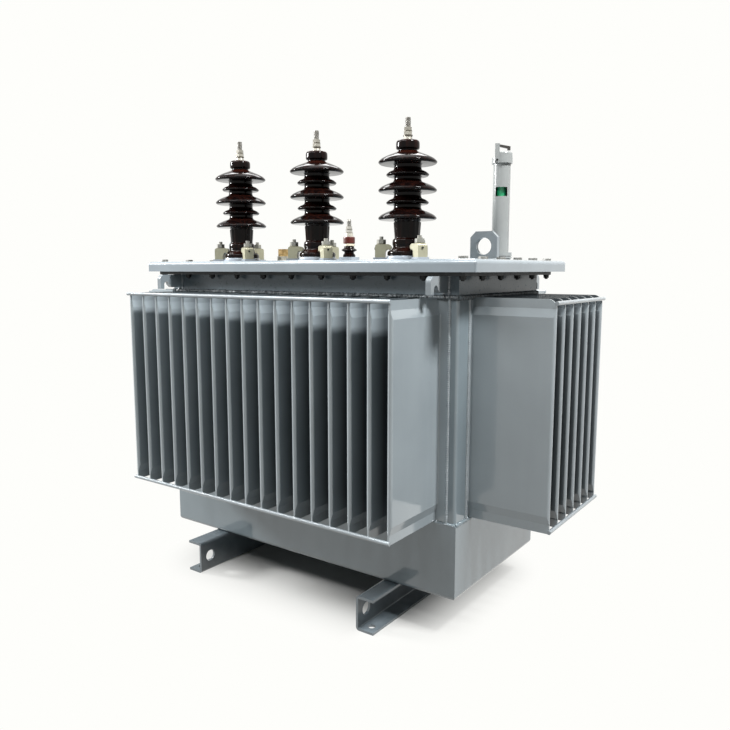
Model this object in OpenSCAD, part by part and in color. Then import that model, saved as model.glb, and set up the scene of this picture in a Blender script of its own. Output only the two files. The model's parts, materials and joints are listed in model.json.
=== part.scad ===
// Oil-filled distribution transformer with a corrugated tank, standing on two channel skids

/* [Skids] */
// Height of each channel skid
skid_h = 84; // [50:1:120]
// Width of the channel flanges
skid_flange = 48; // [30:1:80]
// Plate thickness of the channels
skid_t = 6; // [3:0.5:6.5]
// Outer bend radius of the channels
skid_r = 8; // [7:0.5:12]
// Length of each skid, front to back
skid_len = 630; // [450:1:900]
// Distance between the backs of the two channels
skid_gauge = 525; // [300:1:760]
// Diameter of the towing holes through the webs
tow_hole_d = 30; // [10:1:40]
// Distance from a skid's end to its towing hole
tow_hole_inset = 33; // [24:1:80]
// Diameter of the holding-down holes through the lower flanges
foot_hole_d = 18; // [6:0.5:22]
// Distance from a skid's end to its holding-down hole
foot_hole_inset = 25; // [14:1:80]

/* [Tank] */
// Length of the tank over its end walls
tank_w = 920; // [760:1:1200]
// Depth of the tank over its front and back walls
tank_d = 424; // [340:1:600]
// Height of the plain lower box
base_h = 176; // [80:1:260]
// How far the lower box stands proud of the walls above it
base_lip = 4; // [1:0.5:8]
// Plate thickness of the lower box
base_t = 8; // [6:0.5:12]
// Radius of the lower box's rounded bottom edges
base_r = 12; // [4:1:24]
// Height of the finned walls
wall_h = 506; // [300:1:800]
// Thickness of the folded wall sheet
sheet_t = 2; // [1:0.25:3]
// Width of a corner post on the front and back
post_front = 22; // [12:1:34]
// Width of a corner post on the ends
post_side = 50; // [20:1:54]
// Plate thickness of the corner posts
post_t = 4; // [3:0.5:7]
// Outer bend radius of the corner posts
post_r = 7; // [4:0.5:10]

/* [Fins] */
// Spacing of the fins along the front and back
front_pitch = 51; // [36:0.5:90]
// Distance from the tank's corner to the first front fin
front_margin = 52; // [44:1:100]
// How far the front and back fins stand out
front_depth = 188; // [60:1:300]
// Spacing of the fins along the ends
side_pitch = 49; // [36:0.5:90]
// Distance from the tank's corner to the first end fin
side_margin = 65; // [62:1:110]
// How far the end fins stand out
side_depth = 192; // [60:1:300]
// Full thickness of a fin
fin_t = 12; // [8:0.5:18]
// Height of the flat pinched strip at each end of a fin
pinch_h = 20; // [16:1:30]
// Height over which a fin swells from its pinched strip to full thickness
swell_h = 18; // [10:1:60]
// Radius of the upper outer corner of the front and back fins
front_top_r = 8; // [5:0.5:24]
// Radius of the upper outer corner of the end fins
side_top_r = 20; // [5:0.5:24]
// Radius of a fin's lower outer corner
fin_foot_r = 4; // [2:0.5:8]
// Radius of the folds where a fin meets the flat sheet
fold_r = 4; // [2:0.5:6]
// Gap between a fin's lower edge and the lower box
fin_foot_gap = 5; // [3:1:20]
// Diameter of the tie rods along the fin tips
rod_d = 9; // [5:0.5:14]
// How far the upper front and back rods' centres lie below the fins' top edge
front_rod_drop = 3; // [1:0.5:10]
// How far the upper end rods' centres lie below the fins' top edge
side_rod_drop = 9; // [4:0.5:14]
// How far the lower tie rod's centre lies above the fin's bottom edge
rod_rise = 4; // [2:0.5:8]
// How far a tie rod runs past the last fin at its long end
rod_overhang = 10; // [4:1:30]
// How far a tie rod runs past the last fin at its trimmed end
rod_trim = 3; // [1:0.5:10]

/* [Cover] */
// Height of the top frame between the finned walls and the flange
frame_h = 46.5; // [44:0.5:120]
// Plate thickness of the top frame
frame_t = 8; // [4:0.5:14]
// How far the flange bar stands out from the frame
flange_out = 27; // [20:1:36]
// Height of the flange bar under the cover
flange_t = 28.5; // [10:0.5:34]
// How far the cover overhangs the tank ends
cover_out_side = 60; // [44:1:90]
// How far the cover overhangs the tank's front and back
cover_out_front = 42; // [41:1:80]
// Plate thickness of the cover
cover_t = 7; // [4:0.5:8]
// Overall height of the cover with its folded skirt
cover_h = 27.5; // [24:0.5:36]
// Outer bend radius of the cover's top edges
cover_r = 10; // [8:0.5:16]
// Radius of the cover's upright corners
cover_corner_r = 4; // [2:0.5:12]
// Thickness of the hook plates
hook_t = 13; // [5:0.5:20]
// How far the hooks stand out from the top frame
hook_out = 77; // [70:1:160]
// Height of the hook plates
hook_h = 39; // [32:0.5:44]
// Distance from a hook's foot to the bottom of the top frame
hook_rise = 7; // [0:0.5:7]
// Distance from the tank's end to a hook's outer face
hook_inset = 24; // [4:1:60]
// Width of the hook's throat at its mouth
throat_w = 25.5; // [12:0.5:30]
// Height of the hook's throat
throat_h = 20; // [14:0.5:24]
// Distance from the hook's tip to its throat
throat_inset = 12.5; // [10:0.5:34]

/* [Cover lugs] */
// Width of a cover lug
lug_w = 70; // [56:1:110]
// Height of a cover lug
lug_h = 68; // [58:1:110]
// Thickness of a cover lug
lug_t = 12; // [6:0.5:20]
// Size of the cut top corners of a lug
lug_cut = 14; // [4:1:20]
// Diameter of the lifting hole
lug_hole_d = 40; // [16:1:42]
// Height of the lifting hole above the cover
lug_hole_z = 33; // [26:1:34]
// Distance from the cover's end to the middle of a lug
lug_inset = 107; // [60:1:130]

/* [High-voltage bushings] */
// Distance between neighbouring bushings
hv_pitch = 273; // [210:1:330]
// Distance of the bushing row in front of the cover's middle line
hv_front = 123.5; // [100:0.5:140]
// Height of the glazed body above the seat ring
hv_body_h = 257; // [250:1:300]
// Radius of the body between the sheds
hv_core_r = 32; // [26:0.5:38]
// Radius of the large sheds
hv_shed_r = 69.5; // [58:0.5:90]
// Radius of the small sheds
hv_small_r = 51; // [44:0.5:56]
// Distance from one shed to the next
hv_shed_step = 31.8; // [31:0.1:33]
// Height of the lowest shed above the seat ring
hv_first_shed = 84.5; // [82:0.5:88]
// Number of ribs round the lower body
hv_ribs = 14; // [8:1:24]
// Radius of the seat ring's hub
seat_r = 42; // [41:0.5:44]
// Height of the seat ring
seat_h = 17; // [12:0.5:22]
// Radius of the terminal stud
hv_stud_r = 6; // [4:0.25:7]
// Length of the terminal stud above the glazed body
hv_stud_h = 51; // [40:1:80]
// Radius from the bushing's axis to the clamp bolts
clamp_bolt_r = 61; // [61:0.5:68]
// Width of a clamp
clamp_w = 24; // [14:0.5:30]
// Height of a clamp
clamp_h = 37; // [36:0.5:46]

/* [Small bushing] */
// Position of the small bushing along the cover
lv_x = -77; // [-130:1:130]
// Position of the small bushing across the cover
lv_y = 115; // [40:1:150]
// Radius of the small bushing's shed
lv_shed_r = 22; // [18:0.5:30]
// Radius of the red collar
lv_collar_r = 17; // [15:0.5:20]
// Height of the red collar
lv_collar_h = 20; // [10:0.5:30]
// Radius of the small bushing's stud
lv_stud_r = 6; // [4:0.25:7]

/* [Level gauge] */
// Distance from the cover's end to the level gauge
gauge_inset = 110; // [60:1:130]
// Position of the level gauge across the cover
gauge_y = 92; // [60:1:160]
// Outer diameter of the gauge tube
gauge_d = 42; // [34:0.5:48]
// Wall thickness of the gauge tube
gauge_t = 3; // [2:0.25:5]
// Height of the gauge tube above its foot
gauge_h = 214.5; // [160:0.5:320]
// Diameter of the gauge foot
gauge_foot_d = 58; // [56:0.5:80]
// Height of the gauge foot
gauge_foot_h = 20; // [16:0.5:40]
// Diameter of the gauge cap
gauge_cap_d = 50; // [48:0.5:70]
// Height of the gauge cap
gauge_cap_h = 27; // [22:0.5:40]
// Width of the sight window
window_w = 28; // [14:0.5:28]
// Height of the sight window
window_h = 22; // [10:0.5:40]
// Distance from the top of the tube to the sight window
window_drop = 57; // [20:1:100]
// Height of the strap above the gauge cap
strap_h = 18.5; // [16:0.5:40]
// Direction the sight window faces, turned from the front
gauge_turn = 25; // [-90:1:90]

/* [Filler cap] */
// Position of the filler cap along the cover
filler_x = -195; // [-230:1:-160]
// Position of the filler cap across the cover
filler_y = -37; // [-40:1:160]
// Width of the filler cap across its flats
filler_af = 28; // [18:0.5:34]
// Height of the filler cap
filler_h = 20; // [10:0.5:30]
// Diameter of the filler's neck
filler_seat_d = 36; // [36:0.5:50]
// Height of the filler's neck
filler_seat_t = 15; // [2:0.5:20]

/* [Hidden] */
$fn = 64;
eps = 0.01;
base_z = skid_h;
wall_z = base_z + base_h;
frame_z = wall_z + wall_h;
flange_z = frame_z + frame_h;
cover_plate_z = flange_z + flange_t;
cover_top = cover_plate_z + cover_t;
hook_gap = 0.5;
hook_top = min(hook_h, frame_h - hook_rise - hook_gap);
cover_w = tank_w + 2 * cover_out_side;
cover_d = tank_d + 2 * cover_out_front;
lug_x = cover_w / 2 - lug_inset;
gauge_x = cover_w / 2 - gauge_inset;
front_len = tank_w - 2 * post_front;
side_len = tank_d - 2 * post_side;
front_count = floor((tank_w - 2 * front_margin) / front_pitch + eps) + 1;
side_count = floor((tank_d - 2 * side_margin) / side_pitch + eps) + 1;
pinch_t = 2 * sheet_t;
paint = [0.56, 0.60, 0.62];
glaze = [0.20, 0.09, 0.08];
zinc = [0.79, 0.76, 0.64];
tin = [0.79, 0.78, 0.75];
resin = [0.67, 0.68, 0.67];

// Points of a curved stretch from a to b, drawn towards c
function curve(a, c, b, n = 8) = [for (i = [0:n]) let (t = i / n, u = 1 - t)
    u * u * a + 2 * t * u * c + t * t * b];

// Points of an arc from angle a0 to a1
function arc(centre, r, a0, a1, n = 8) = [for (i = [0:n]) let (a = a0 + (a1 - a0) * i / n)
    centre + r * [cos(a), sin(a)]];

module rounded_rectangle(w, h, r) {
    square([w - 2 * r, h], center = true);
    square([w, h - 2 * r], center = true);
    for (x = [-1, 1], y = [-1, 1]) translate([x * (w / 2 - r), y * (h / 2 - r)]) circle(r);
}

// Hexagon nut body, across flats af
module hexagon(af, h) {
    cylinder(d = af / cos(30), h = h, $fn = 6);
}

// Channel seen from its end, back on x = 0 and flanges towards +x
module channel_outline() {
    inner_r = skid_r - skid_t;
    difference() {
        union() {
            translate([skid_r, 0]) square([skid_flange - skid_r, skid_h]);
            translate([0, skid_r]) square([skid_r, skid_h - 2 * skid_r]);
            for (z = [skid_r, skid_h - skid_r]) translate([skid_r, z]) circle(skid_r);
        }
        translate([skid_r, skid_t]) square([skid_flange, skid_h - 2 * skid_t]);
        translate([skid_t, skid_r]) square([skid_flange, skid_h - 2 * skid_r]);
        for (z = [skid_r, skid_h - skid_r]) translate([skid_r, z]) circle(inner_r);
    }
}

module skid() {
    color(paint) difference() {
        translate([0, skid_len / 2, 0]) rotate([90, 0, 0]) linear_extrude(skid_len) channel_outline();
        for (s = [-1, 1]) {
            translate([-1, s * (skid_len / 2 - tow_hole_inset), skid_h / 2])
                rotate([0, 90, 0]) cylinder(d = tow_hole_d, h = skid_t + 2);
            translate([(skid_flange + skid_t) / 2, s * (skid_len / 2 - foot_hole_inset), -1])
                cylinder(d = foot_hole_d, h = skid_t + 2);
        }
    }
}

module right_skid() {
    translate([skid_gauge / 2, 0, 0]) skid();
}

module left_skid() {
    mirror([1, 0, 0]) right_skid();
}

// Outline with rounded lower corners, standing on y = 0
module pan_outline(w, h, r) {
    translate([-w / 2, r]) square([w, h - r]);
    translate([-w / 2 + r, 0]) square([w - 2 * r, r]);
    for (s = [-1, 1]) translate([s * (w / 2 - r), r]) circle(r);
}

// Block with rounded lower edges, seen from the front and from the end
module pan_block(w, d, h, r) {
    intersection() {
        rotate([90, 0, 0]) linear_extrude(d, center = true) pan_outline(w, h, r);
        rotate([90, 0, 90]) linear_extrude(w, center = true) pan_outline(d, h, r);
    }
}

module tank_base() {
    outer_w = tank_w + 2 * base_lip;
    outer_d = tank_d + 2 * base_lip;
    color(paint) translate([0, 0, base_z]) difference() {
        pan_block(outer_w, outer_d, base_h, base_r);
        translate([-outer_w / 2 + base_t, -outer_d / 2 + base_t, base_t])
            cube([outer_w - 2 * base_t, outer_d - 2 * base_t, base_h]);
    }
}

// Oil with the core and windings in it, as one block that fills the closed tank
module oil_fill() {
    inset = max(frame_t, post_t + 1, base_t - base_lip);
    fill_w = tank_w - 2 * inset;
    fill_d = tank_d - 2 * inset;
    floor_z = base_z + base_t;
    color([0.70, 0.55, 0.25]) translate([-fill_w / 2, -fill_d / 2, floor_z])
        cube([fill_w, fill_d, cover_plate_z - floor_z]);
}

// Outline of a fin seen from its tip, pinched at both ends
function fin_front(half, edge, z0, z1) = [
    [-edge, z0], [edge, z0], [edge, z0 + pinch_h], [half, z0 + pinch_h + swell_h],
    [half, z1 - pinch_h - swell_h], [edge, z1 - pinch_h], [edge, z1], [-edge, z1],
    [-edge, z1 - pinch_h], [-half, z1 - pinch_h - swell_h],
    [-half, z0 + pinch_h + swell_h], [-edge, z0 + pinch_h]];

// Outline of the hollow inside a fin, closing where the sheet is pinched
function fin_hollow(half, z0, z1) = [
    [0, z0 + pinch_h], [half, z0 + pinch_h + swell_h], [half, z1 - pinch_h - swell_h],
    [0, z1 - pinch_h], [-half, z1 - pinch_h - swell_h], [-half, z0 + pinch_h + swell_h]];

// Plan of a fin with a round tip, from the wall's inner face outwards
module fin_plan(depth, half, back) {
    translate([-half, half - depth]) square([2 * half, depth - half + back]);
    translate([0, half - depth]) circle(half);
}

// Side view of a fin, from the wall's inner face to its rounded tip
module fin_side(depth, top_r) {
    top = wall_h - top_r;
    foot = fin_foot_gap + fin_foot_r;
    edge_r = max(top_r, fin_foot_r);
    translate([edge_r - depth, fin_foot_gap]) square([depth + sheet_t - edge_r, wall_h - fin_foot_gap]);
    translate([-depth, foot]) square([edge_r, top - foot]);
    translate([fin_foot_r - depth, fin_foot_gap]) square([edge_r, fin_foot_r + 1]);
    translate([top_r - depth, top - 1]) square([edge_r, top_r + 1]);
    translate([top_r - depth, top]) circle(top_r);
    translate([fin_foot_r - depth, foot]) circle(fin_foot_r);
}

// Round folds at the foot of a fin, along its full-thickness stretch
module fin_folds() {
    ends = pinch_h + swell_h;
    half = fin_t / 2;
    translate([0, 0, fin_foot_gap + ends]) linear_extrude(wall_h - fin_foot_gap - 2 * ends)
        for (s = [0, 1]) mirror([s, 0]) polygon(concat(
            [[half - 1, 1], [half + fold_r, 1]],
            curve([half + fold_r, 0], [half, 0], [half, -fold_r], 4),
            [[half - 1, -fold_r]]));
}

module fin(depth, top_r) {
    intersection() {
        translate([0, sheet_t, 0]) rotate([90, 0, 0]) linear_extrude(depth + sheet_t)
            polygon(fin_front(fin_t / 2, pinch_t / 2, fin_foot_gap, wall_h));
        linear_extrude(wall_h) fin_plan(depth, fin_t / 2, sheet_t);
        rotate([90, 0, 90]) linear_extrude(fin_t, center = true) fin_side(depth, top_r);
    }
    fin_folds();
}

module fin_inside(depth) {
    half = fin_t / 2 - sheet_t;
    intersection() {
        translate([0, sheet_t + 1, 0]) rotate([90, 0, 0]) linear_extrude(depth + 1)
            polygon(fin_hollow(half, fin_foot_gap, wall_h));
        linear_extrude(wall_h) fin_plan(depth - sheet_t, half, sheet_t + 1);
    }
}

// Two tie rods along the fin tips, at the top and the bottom, trimmed at their +x end where trim is 1
module rods(count, pitch, depth, drop, trim) {
    half = (count - 1) * pitch / 2;
    left = half + (trim == 1 ? rod_overhang : rod_trim);
    right = half + (trim == 1 ? rod_trim : rod_overhang);
    for (z = [fin_foot_gap + rod_rise, wall_h - drop])
        translate([-left, -depth, z]) rotate([0, 90, 0]) cylinder(d = rod_d, h = left + right);
}

// Folded sheet wall with hollow fins, outer face on y = 0 and fins towards -y
module corrugated_wall(length, count, pitch, depth, top_r) {
    color(paint) difference() {
        union() {
            translate([-length / 2, 0, 0]) cube([length, sheet_t, wall_h]);
            for (i = [0:count - 1]) translate([(i - (count - 1) / 2) * pitch, 0, 0]) fin(depth, top_r);
        }
        for (i = [0:count - 1]) translate([(i - (count - 1) / 2) * pitch, 0, 0]) fin_inside(depth);
        children();
    }
}

module to_front() {
    translate([0, -tank_d / 2, wall_z]) children();
}

module to_right() {
    translate([tank_w / 2, 0, wall_z]) rotate([0, 0, 90]) children();
}

module front_rod_pair() {
    rods(front_count, front_pitch, front_depth, front_rod_drop, 1);
}

module side_rod_pair() {
    rods(side_count, side_pitch, side_depth, side_rod_drop, 0);
}

module front_wall() {
    to_front() corrugated_wall(front_len, front_count, front_pitch, front_depth, front_top_r)
        front_rod_pair();
}

module rear_wall() {
    mirror([0, 1, 0]) front_wall();
}

module right_wall() {
    to_right() corrugated_wall(side_len, side_count, side_pitch, side_depth, side_top_r) side_rod_pair();
}

module left_wall() {
    mirror([1, 0, 0]) right_wall();
}

module front_rods() {
    color(paint) to_front() front_rod_pair();
}

module rear_rods() {
    mirror([0, 1, 0]) front_rods();
}

module right_rods() {
    color(paint) to_right() side_rod_pair();
}

module left_rods() {
    mirror([1, 0, 0]) right_rods();
}

// Bent corner plate at the front right of the tank
module front_right_post() {
    color(paint) translate([tank_w / 2, -tank_d / 2, wall_z]) linear_extrude(wall_h) difference() {
        union() {
            translate([-post_front, 0]) square([post_front - post_r, post_t]);
            translate([-post_t, post_r]) square([post_t, post_side - post_r]);
            intersection() {
                translate([-post_r, post_r]) circle(post_r);
                translate([-post_r, 0]) square(post_r);
            }
        }
        translate([-post_r, post_r]) circle(post_r - post_t);
    }
}

module front_left_post() {
    mirror([1, 0, 0]) front_right_post();
}

module rear_right_post() {
    mirror([0, 1, 0]) front_right_post();
}

module rear_left_post() {
    mirror([0, 1, 0]) front_left_post();
}

// Rectangular ring, reaching outwards by out and inwards by t from the tank's walls
module tank_ring(out, t, h) {
    difference() {
        translate([-tank_w / 2 - out, -tank_d / 2 - out, 0]) cube([tank_w + 2 * out, tank_d + 2 * out, h]);
        translate([-tank_w / 2 + t, -tank_d / 2 + t, -1]) cube([tank_w - 2 * t, tank_d - 2 * t, h + 2]);
    }
}

module top_frame() {
    color(paint) translate([0, 0, frame_z]) tank_ring(0, frame_t, frame_h);
}

module tank_flange() {
    color(paint) translate([0, 0, flange_z]) tank_ring(flange_out, frame_t, flange_t);
}

// Pan-shaped cover, open below, with bent top edges
module cover() {
    color(paint) translate([0, 0, cover_top]) mirror([0, 0, 1]) difference() {
        intersection() {
            pan_block(cover_w, cover_d, cover_h, cover_r);
            linear_extrude(cover_h) rounded_rectangle(cover_w, cover_d, cover_corner_r);
        }
        translate([-cover_w / 2 + cover_t, -cover_d / 2 + cover_t, cover_t])
            cube([cover_w - 2 * cover_t, cover_d - 2 * cover_t, cover_h]);
    }
}

// Hook plate seen from the end, standing out from y = 0, with a throat that slopes on its inner side
module hook_outline() {
    corner_r = 14;
    nose_drop = 4;
    throat_r = throat_w / 3;
    arch_z = throat_h - throat_r;
    mouth = hook_out - throat_inset;
    difference() {
        union() {
            square([hook_out - corner_r, hook_top]);
            square([hook_out, hook_top - corner_r]);
            translate([hook_out - corner_r, hook_top - corner_r]) circle(corner_r);
        }
        translate([mouth - 2 * throat_r, -1]) square([2 * throat_r, arch_z + 1]);
        translate([mouth - throat_r, arch_z]) circle(throat_r);
        polygon([[mouth - throat_r, -1], [mouth - throat_w, -1], [mouth - throat_w, nose_drop],
                 [mouth - 2 * throat_r, arch_z], [mouth - throat_r, arch_z]]);
        translate([-1, -1]) square([mouth - throat_w + 1, nose_drop + 1]);
    }
}

module front_hooks() {
    for (s = [0, 1]) mirror([s, 0, 0])
        color(paint) translate([tank_w / 2 - hook_inset, -tank_d / 2, frame_z + hook_rise])
            rotate([90, 0, -90]) linear_extrude(hook_t) hook_outline();
}

module rear_hooks() {
    mirror([0, 1, 0]) front_hooks();
}

// Lifting lug standing on the cover
module right_lug() {
    color(paint) translate([lug_x, 0, cover_top]) rotate([90, 0, 0]) difference() {
        linear_extrude(lug_t, center = true) polygon([
            [-lug_w / 2, 0], [lug_w / 2, 0], [lug_w / 2, lug_h - lug_cut], [lug_w / 2 - lug_cut, lug_h],
            [lug_cut - lug_w / 2, lug_h], [-lug_w / 2, lug_h - lug_cut]]);
        translate([0, lug_hole_z, 0]) cylinder(d = lug_hole_d, h = lug_t + 2, center = true);
    }
}

module left_lug() {
    mirror([1, 0, 0]) right_lug();
}

// Grey seat ring under a high-voltage bushing, with a pad for each clamp
clamp_angles = [90, 210, 330];
seat_flange_r = 50;
seat_flange_h = 5;
pad_r = 79;
pad_w = 29;
pad_h = 6;
module hv_seat(i) {
    color(paint) to_bushing(i) {
        rotate_extrude() polygon([[0, 0], [seat_flange_r, 0], [seat_flange_r, seat_flange_h],
                                  [seat_r, seat_flange_h], [seat_r, seat_h], [0, seat_h]]);
        for (a = clamp_angles) rotate(a) translate([0, -pad_w / 2, 0]) cube([pad_r, pad_w, pad_h]);
    }
}

module to_bushing(i) {
    translate([(i - 2) * hv_pitch, -hv_front, cover_top]) children();
}

// Edge of one shed from its underside round its thick rim to its domed upper side, at height z
function shed(r, z, rim, rise) = concat(
    curve([hv_core_r, z - rim * 0.3], [hv_core_r + 3, z - rim * 0.8], [hv_core_r + 8, z - rim * 0.8], 4),
    arc([r - rim, z], rim, -95, 70, 10),
    curve([r - 2 * rim, z + rim + rise * 0.2], [hv_core_r + 4, z + rim + rise * 0.6],
        [hv_core_r, z + rim + rise], 8));

large_rim = 6.3;
small_rim = 5;
large_rise = 13;
small_rise = 6;
droop = 2.5;
neck_r = 22;
skirt_h = 5;
shoulder = 8;
bulge_r = 34;
bulge_top = 30;
rib_top = 72;
cap_r = 27.5;
cap_h = 21;
cap_top_r = 11;
cap_edge_r = 5;

// Outline of the glazed body, from the seat ring to the rounded cap
function hv_outline() = concat(
    [[0, 0], [seat_r, 0], [seat_r, skirt_h], [seat_r - shoulder, skirt_h + shoulder]],
    curve([bulge_r, skirt_h + shoulder + 1], [bulge_r + 2, 24], [bulge_r, bulge_top], 6),
    [[hv_core_r - 2, bulge_top + 2], [hv_core_r - 2, rib_top], [hv_core_r, rib_top + 2]],
    [for (k = [0:4]) let (z = hv_first_shed + k * hv_shed_step) each k % 2 == 0
        ? shed(hv_shed_r, z - droop, large_rim, large_rise)
        : shed(hv_small_r, z, small_rim, small_rise)],
    [[neck_r, hv_body_h - cap_h - 2]],
    arc([cap_r - cap_edge_r, hv_body_h - cap_h + cap_edge_r], cap_edge_r, -70, 0, 6),
    arc([cap_r - cap_top_r, hv_body_h - cap_top_r], cap_top_r, 0, 90, 8),
    [[0, hv_body_h]]);

module hv_porcelain(i) {
    color(glaze) to_bushing(i) translate([0, 0, seat_h]) {
        rotate_extrude() polygon(hv_outline());
        translate([0, 0, bulge_top]) linear_extrude(rib_top - bulge_top + 2)
            for (k = [0:hv_ribs - 1]) rotate(k * 360 / hv_ribs) translate([hv_core_r - 2.5, 0]) circle(3);
    }
}

// Stud with a cone washer, two flat washers and two nuts on top of a bushing
cone_h = 9;
washer_t = 2.5;
spring_t = 2.5;
nut_h = 7.5;
nut_extra = 6;
washer_extra = 5;
cone_taper = 2;
spring_step = 1.5;
module hv_terminal(i) {
    nut_z = cone_h + washer_t;
    spring_z = nut_z + nut_h;
    color(tin) to_bushing(i) translate([0, 0, seat_h + hv_body_h]) {
        cylinder(r = hv_stud_r, h = hv_stud_h);
        cylinder(r1 = hv_stud_r + washer_extra, r2 = hv_stud_r + washer_extra - cone_taper, h = cone_h);
        translate([0, 0, cone_h]) cylinder(r = hv_stud_r + washer_extra, h = washer_t);
        translate([0, 0, nut_z]) hexagon(2 * hv_stud_r + nut_extra, nut_h);
        translate([0, 0, spring_z]) cylinder(r = hv_stud_r + washer_extra - spring_step, h = spring_t);
        translate([0, 0, spring_z + spring_t]) hexagon(2 * hv_stud_r + nut_extra - 1, nut_h);
    }
}

// Outline of a clamp in its upright plane, x measured from the bushing's axis
clamp_heel = 14;
clamp_inner = 10;
clamp_arch = 8;
clamp_nose = 36;
heel_r = 6;
nose_r = 9;
function shoulder_z(x) = seat_h + skirt_h + seat_r - x;
function clamp_outline() = let (
    body = clamp_bolt_r - clamp_inner,
    heel = clamp_bolt_r + clamp_heel,
    rim = seat_r - 1) concat(
    [[body, pad_h], [heel, pad_h]],
    arc([heel - heel_r, clamp_h - heel_r], heel_r, 0, 90, 5),
    arc([clamp_nose + nose_r, clamp_h - nose_r], nose_r, 90, 180, 5),
    [[clamp_nose, shoulder_z(clamp_nose)], [rim, shoulder_z(rim)]],
    arc([body - clamp_arch, shoulder_z(rim) - clamp_arch + 2], clamp_arch, 90, 0, 6));

clamp_washer_r = 11;
clamp_washer_t = 3;
clamp_nut_af = 19;
clamp_nut_h = 12;
clamp_stud_r = 5;
clamp_stud_h = 19;
module hv_clamps(i) {
    color(zinc) to_bushing(i) for (a = clamp_angles) rotate(a) {
        rotate([90, 0, 0]) linear_extrude(clamp_w, center = true) polygon(clamp_outline());
        translate([clamp_bolt_r, 0, clamp_h - 1]) {
            cylinder(r = clamp_washer_r, h = clamp_washer_t);
            hexagon(clamp_nut_af, clamp_nut_h);
            cylinder(r = clamp_stud_r, h = clamp_stud_h);
        }
    }
}

module to_small_bushing() {
    translate([lv_x, lv_y, cover_top]) children();
}

// Square seat under the small bushing
lv_seat_w = 46;
lv_seat_r = 6;
lv_seat_h = 14;
module lv_seat() {
    color(paint) to_small_bushing() linear_extrude(lv_seat_h)
        rounded_rectangle(lv_seat_w, lv_seat_w, lv_seat_r);
}

// Glazed foot, one shed and a neck
lv_body_h = 38;
lv_foot_r = 18;
lv_foot_h = 6;
lv_neck_r = 14;
lv_shed_z = 20;
lv_lip = 3;
module lv_porcelain() {
    slope_z = lv_shed_z + lv_lip + 2;
    color(glaze) to_small_bushing() translate([0, 0, lv_seat_h]) rotate_extrude() polygon(concat(
        [[0, 0], [lv_foot_r, 0], [lv_foot_r, lv_foot_h],
         [lv_neck_r, lv_foot_h + 5], [lv_neck_r, lv_shed_z - 6]],
        arc([lv_shed_r - lv_lip, lv_shed_z], lv_lip, -100, 70, 6),
        curve([lv_shed_r - 2 * lv_lip, slope_z], [lv_neck_r, slope_z + 3], [lv_neck_r, slope_z + 6], 5),
        [[lv_neck_r, lv_body_h], [0, lv_body_h]]));
}

module lv_collar() {
    edge_r = 3;
    color([0.48, 0.17, 0.10]) to_small_bushing() translate([0, 0, lv_seat_h + lv_body_h]) rotate_extrude()
        polygon(concat([[0, 0]],
            arc([lv_collar_r - edge_r, edge_r], edge_r, -90, 0, 4),
            arc([lv_collar_r - edge_r, lv_collar_h - edge_r], edge_r, 0, 90, 4),
            [[0, lv_collar_h]]));
}

// Stud with a cone washer, two nuts and a pointed end
lv_cone_h = 12;
lv_washer_step = 1;
lv_stud_h = 46;
lv_point_h = 4;
module lv_terminal() {
    spring_z = lv_cone_h + nut_h;
    washer_r = lv_stud_r + washer_extra;
    color(tin) to_small_bushing() translate([0, 0, lv_seat_h + lv_body_h + lv_collar_h]) {
        cylinder(r1 = washer_r + lv_washer_step, r2 = washer_r, h = lv_cone_h);
        translate([0, 0, lv_cone_h]) hexagon(2 * lv_stud_r + nut_extra, nut_h);
        translate([0, 0, spring_z]) cylinder(r = washer_r - spring_step, h = spring_t);
        translate([0, 0, spring_z + spring_t]) hexagon(2 * lv_stud_r + nut_extra - lv_washer_step, nut_h);
        cylinder(r = lv_stud_r, h = lv_stud_h);
        translate([0, 0, lv_stud_h]) cylinder(r1 = lv_stud_r, r2 = lv_stud_r - 1.5, h = lv_point_h);
    }
}

module to_gauge() {
    translate([gauge_x, gauge_y, cover_top]) rotate(gauge_turn) children();
}

// Narrow flange and two wider rings with a groove between them, round the foot of the gauge
foot_step = 5;
foot_groove = 1.5;
module gauge_foot() {
    flange_h = gauge_foot_h * 0.28;
    lower_h = gauge_foot_h * 0.18;
    groove_h = gauge_foot_h * 0.1;
    groove_z = flange_h + lower_h;
    upper_z = groove_z + groove_h;
    color(resin) to_gauge() {
        cylinder(d = gauge_foot_d - foot_step, h = flange_h);
        translate([0, 0, flange_h]) cylinder(d = gauge_foot_d, h = lower_h);
        translate([0, 0, groove_z]) cylinder(d = gauge_foot_d - 2 * foot_groove, h = groove_h);
        translate([0, 0, upper_z]) cylinder(d = gauge_foot_d, h = gauge_foot_h - upper_z);
    }
}

window_z = gauge_h - window_drop - window_h;
module gauge_tube() {
    color(resin) to_gauge() translate([0, 0, gauge_foot_h]) difference() {
        cylinder(d = gauge_d, h = gauge_h);
        translate([0, 0, -1]) cylinder(d = gauge_d - 2 * gauge_t, h = gauge_h + 2);
        translate([-window_w / 2, -gauge_d, window_z]) cube([window_w, gauge_d, window_h]);
    }
}

// Green float tube inside the gauge, set back behind the window
sight_gap = 6.5;
module sight_glass() {
    color([0.12, 0.61, 0.38]) to_gauge() translate([0, 0, gauge_foot_h])
        cylinder(d = gauge_d - 2 * gauge_t - 2 * sight_gap, h = gauge_h);
}

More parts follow.
